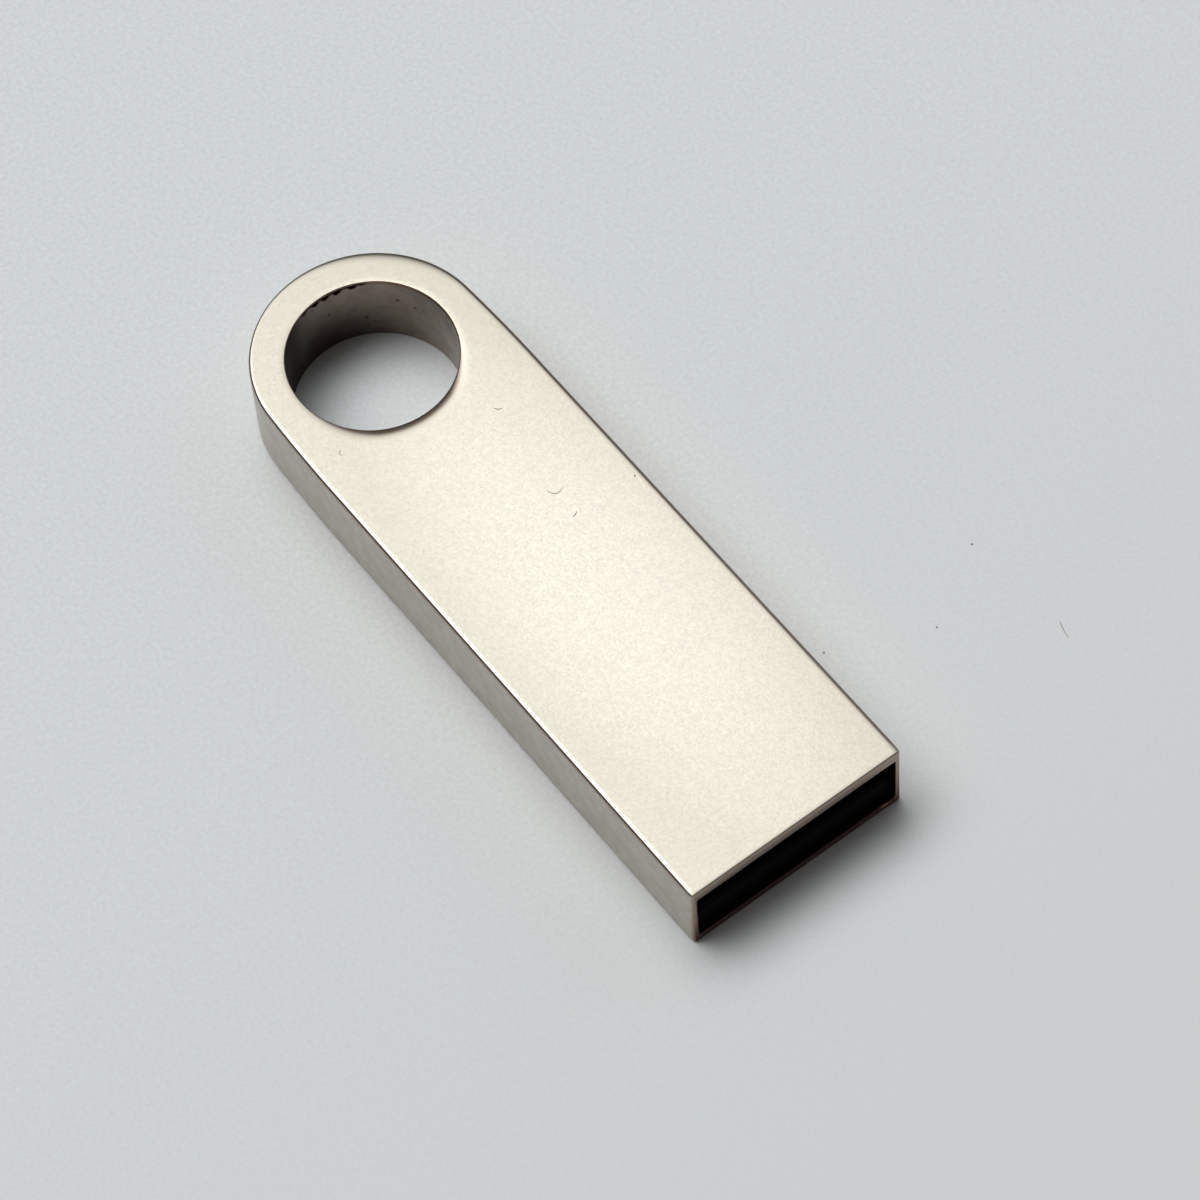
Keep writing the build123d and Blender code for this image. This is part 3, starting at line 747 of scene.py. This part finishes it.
carrier = moulded("carrier_plastic", rgb(0.002, 0.002, 0.002), rgb(0.004, 0.004, 0.004), 0.6, 0.05)
mask = moulded("black_solder_mask", rgb(0.004, 0.004, 0.005), rgb(0.008, 0.008, 0.009), 0.38, 0.3)
compound = moulded("mould_compound", rgb(0.016, 0.016, 0.017), rgb(0.026, 0.026, 0.027), 0.55)
gold = plated("gold_plate", rgb(0.93, 0.68, 0.32), rgb(0.80, 0.60, 0.36), 0.16)
wire = plated("gold_wire", rgb(0.96, 0.72, 0.36), rgb(0.90, 0.66, 0.33), 0.12, 0.1)
foil = plated("copper_foil", rgb(0.80, 0.42, 0.27), rgb(0.62, 0.30, 0.19), 0.28)
tin = plated("bright_solder", rgb(0.78, 0.78, 0.77), rgb(0.60, 0.60, 0.60), 0.24)
silicon = plated("ground_silicon", rgb(0.22, 0.22, 0.25), rgb(0.16, 0.16, 0.19), 0.18)
film = moulded("die_film", rgb(0.72, 0.66, 0.48), rgb(0.80, 0.74, 0.58), 0.5)
tan = moulded("capacitor_ceramic", rgb(0.36, 0.22, 0.12), rgb(0.44, 0.29, 0.17), 0.42)
glaze = moulded("resistor_glaze", rgb(0.012, 0.012, 0.014), rgb(0.03, 0.03, 0.034), 0.3)
ferrite = moulded("sintered_ferrite", rgb(0.04, 0.038, 0.037), rgb(0.07, 0.066, 0.064), 0.62)
lid = plated("crystal_lid", rgb(0.76, 0.72, 0.60), rgb(0.60, 0.56, 0.46), 0.26)

paint("carrier_tray", carrier, 0.04 * MM)
paint("clamp_block", carrier, 0.05 * MM)
paint("adhesive_pads", clear_glue())
paint("substrate", mask)
paint("mould_cap", compound)
for node in ("contact_vbus", "contact_data_minus", "contact_data_plus", "contact_ground"):
    paint(node, gold, 0.012 * MM)
paint("test_pads", gold, 0.012 * MM)
paint("bond_fingers", gold)
paint("plated_vias", foil)
paint("copper_traces", foil)
paint("flash_die_inner", silicon)
paint("flash_die_outer", silicon)
paint("controller_die", silicon)
paint("die_attach_films", film)
paint("flash_bond_wires", wire)
paint("controller_bond_wires", wire)
paint("decoupling_capacitors", tan, 0.03 * MM)
paint("resistors", glaze, 0.02 * MM)
paint("ferrite_bead", ferrite, 0.03 * MM)
paint("clock_crystal", lid, 0.03 * MM)
paint("component_end_caps", tin, 0.03 * MM)
paint("solder_joints", tin)


# ================================================================ stage
def make_floor():
    """A wide flat board just under the object."""
    mesh = bmesh.new()
    bmesh.ops.create_grid(mesh, x_segments=8, y_segments=8, size=3.0)
    data = bpy.data.meshes.new("floor")
    mesh.to_mesh(data)
    mesh.free()
    data.materials.append(paper())
    floor = bpy.data.objects.new("floor", data)
    floor.location.z = -0.01 * MM
    bpy.context.scene.collection.objects.link(floor)


def make_lint():
    """A few short fibres and specks of dust on the stick and on the board."""
    steps = 14
    material, graph, where = new_material("lint")
    tint = graph.mix(graph.noise(where, 0.4 * MM), rgb(0.10, 0.055, 0.04), rgb(0.20, 0.14, 0.10))
    finish_material(graph, Base_Color=tint, Roughness=0.8, Alpha=0.85)
    top, ground = HEIGHT, 0.0
    spots = [
        # x, y (mm), resting height (m), length (mm), direction (degrees), curl (radians), thickness (mm)
        (-2.05, 1.93, top, 0.95, 75, 2.6, 0.022),
        (-0.08, 1.99, top, 0.36, 100, 0.6, 0.030),
        (-7.35, 2.74, top, 0.40, 38, 0.7, 0.026),
        (-10.06, -4.38, top, 0.38, -20, 2.4, 0.020),
        (-0.07, 5.63, top, 0.07, 60, 0.0, 0.060),
        (10.8, 17.44, ground, 0.10, 40, 0.0, 0.060),
        (16.73, 18.05, ground, 1.05, 0, 1.2, 0.022),
        (13.33, 13.23, ground, 0.08, 20, 0.0, 0.060),
        (11.08, 8.16, ground, 0.08, 70, 0.0, 0.060),
    ]
    for number, (x, y, rest, length, heading, curl, thick) in enumerate(spots, 1):
        line = bpy.data.curves.new("lint", "CURVE")
        line.dimensions = "3D"
        line.bevel_depth = thick / 2 * MM
        line.bevel_resolution = 2
        line.use_fill_caps = True
        strand = line.splines.new("POLY")
        strand.points.add(steps)
        place = Vector((x, y)) * MM
        turn = math.radians(heading) - curl / 2
        for i in range(steps + 1):
            strand.points[i].co = (place.x, place.y, rest + thick * 0.4 * MM, 1.0)
            strand.points[i].radius = 0.6 + 0.4 * math.sin(math.pi * i / steps)
            turn += curl / steps + random.uniform(-0.15, 0.15) * min(1.0, curl)
            place += Vector((math.cos(turn), math.sin(turn))) * length / steps * MM
        line.materials.append(material)
        fibre = bpy.data.objects.new(f"lint_{number}", line)
        bpy.context.scene.collection.objects.link(fibre)


def make_light():
    """Studio light, all painted on the world.

    A soft strip box behind the eye end, long in Y, gives nearly all of it. Round it are a weak fill
    from -X, a small lobe on the +Y side, a dim band along the horizon that is stronger towards -Y,
    and a card on the mouth's side that only reflections see. The camera sees a plain backdrop.
    """
    world = bpy.data.worlds.new("studio")
    world.use_nodes = True
    graph = Graph(world.node_tree)
    ray = graph.node("ShaderNodeTexCoord").outputs["Generated"]
    parts = graph.node("ShaderNodeSeparateXYZ", {"Vector": ray})
    height = graph.math("MAXIMUM", parts.outputs["Z"], 0.02)
    path = graph.node("ShaderNodeLightPath")

    def window(axis, centre, inner, outer):
        """Soft-edged band of slope: 1 within inner of centre, 0 beyond outer."""
        slope = graph.math("DIVIDE", parts.outputs[axis], height)
        away = graph.math("ABSOLUTE", graph.math("SUBTRACT", slope, centre))
        return graph.ramp(away, outer, inner)

    def towards(direction):
        """Cosine between the ray and a direction."""
        return graph.vector("DOT_PRODUCT", ray, direction).outputs["Value"]

    across = window("X", BOX_SLOPE[0], BOX_CORE[0], BOX_REACH[0])
    along = window("Y", BOX_SLOPE[1], BOX_CORE[1], BOX_REACH[1])
    box = graph.math("MULTIPLY", graph.math("MULTIPLY", across, along), BOX_GLOW)
    fill = graph.math("ADD", towards(FILL_TOWARDS), 1.0)
    fill = graph.math("MULTIPLY", fill, graph.ramp(height, 0.05, 0.55, 0.0, FILL_GLOW))
    full, end = SIDE_CONE
    side = graph.ramp(towards(SIDE_TOWARDS), math.cos(end), math.cos(full), 0.0, SIDE_GLOW)
    full, end = CARD_COSINES
    card = graph.ramp(towards(CARD_TOWARDS), end, full, 0.0, CARD_GLOW)
    card = graph.math("MULTIPLY", card, path.outputs["Is Glossy Ray"])
    glow = graph.math("ADD", graph.math("ADD", graph.math("ADD", box, fill), side), card)
    full, end = HORIZON_BAND
    low = graph.ramp(height, end, full)
    low = graph.math("MULTIPLY", low, graph.ramp(parts.outputs["Y"], 0.0, -0.6, 1.0, 2.0))

    lamp = graph.glow(rgb(1.0, 0.985, 0.965), glow)
    room = graph.glow(rgb(0.15, 0.105, 0.092), low)
    backdrop = graph.glow(rgb(0.585, 0.605, 0.61), 1.0)
    lit = graph.node("ShaderNodeAddShader", {0: lamp, 1: room}).outputs[0]
    keys = {0: path.outputs["Is Camera Ray"], 1: lit, 2: backdrop}
    both = graph.node("ShaderNodeMixShader", keys).outputs[0]
    graph.node("ShaderNodeOutputWorld", {"Surface": both})
    world.cycles.sampling_method = "MANUAL"
    world.cycles.sample_map_resolution = 1024
    bpy.context.scene.world = world


def make_camera():
    """Long lens looking down on the stick from the mouth's near corner."""
    back = Vector((
        math.cos(CAMERA_ELEVATION) * math.cos(CAMERA_AZIMUTH),
        math.cos(CAMERA_ELEVATION) * math.sin(CAMERA_AZIMUTH),
        math.sin(CAMERA_ELEVATION),
    ))
    level = Vector((0, 0, 1)).cross(back).normalized()
    upright = back.cross(level)
    right = level * math.cos(CAMERA_ROLL) + upright * math.sin(CAMERA_ROLL)
    up = back.cross(right)
    data = bpy.data.cameras.new("camera")
    data.sensor_width = 36.0
    data.lens = CAMERA_LENS
    data.clip_start = 0.01
    data.clip_end = 20.0
    camera = bpy.data.objects.new("camera", data)
    turn = Matrix((right, up, back)).transposed().to_4x4()
    camera.matrix_world = Matrix.Translation(CAMERA_AIM + back * CAMERA_DISTANCE) @ turn
    bpy.context.scene.collection.objects.link(camera)
    bpy.context.scene.camera = camera


random.seed(4)
make_floor()
make_lint()
make_light()
make_camera()
bpy.context.scene.view_settings.view_transform = "Standard"
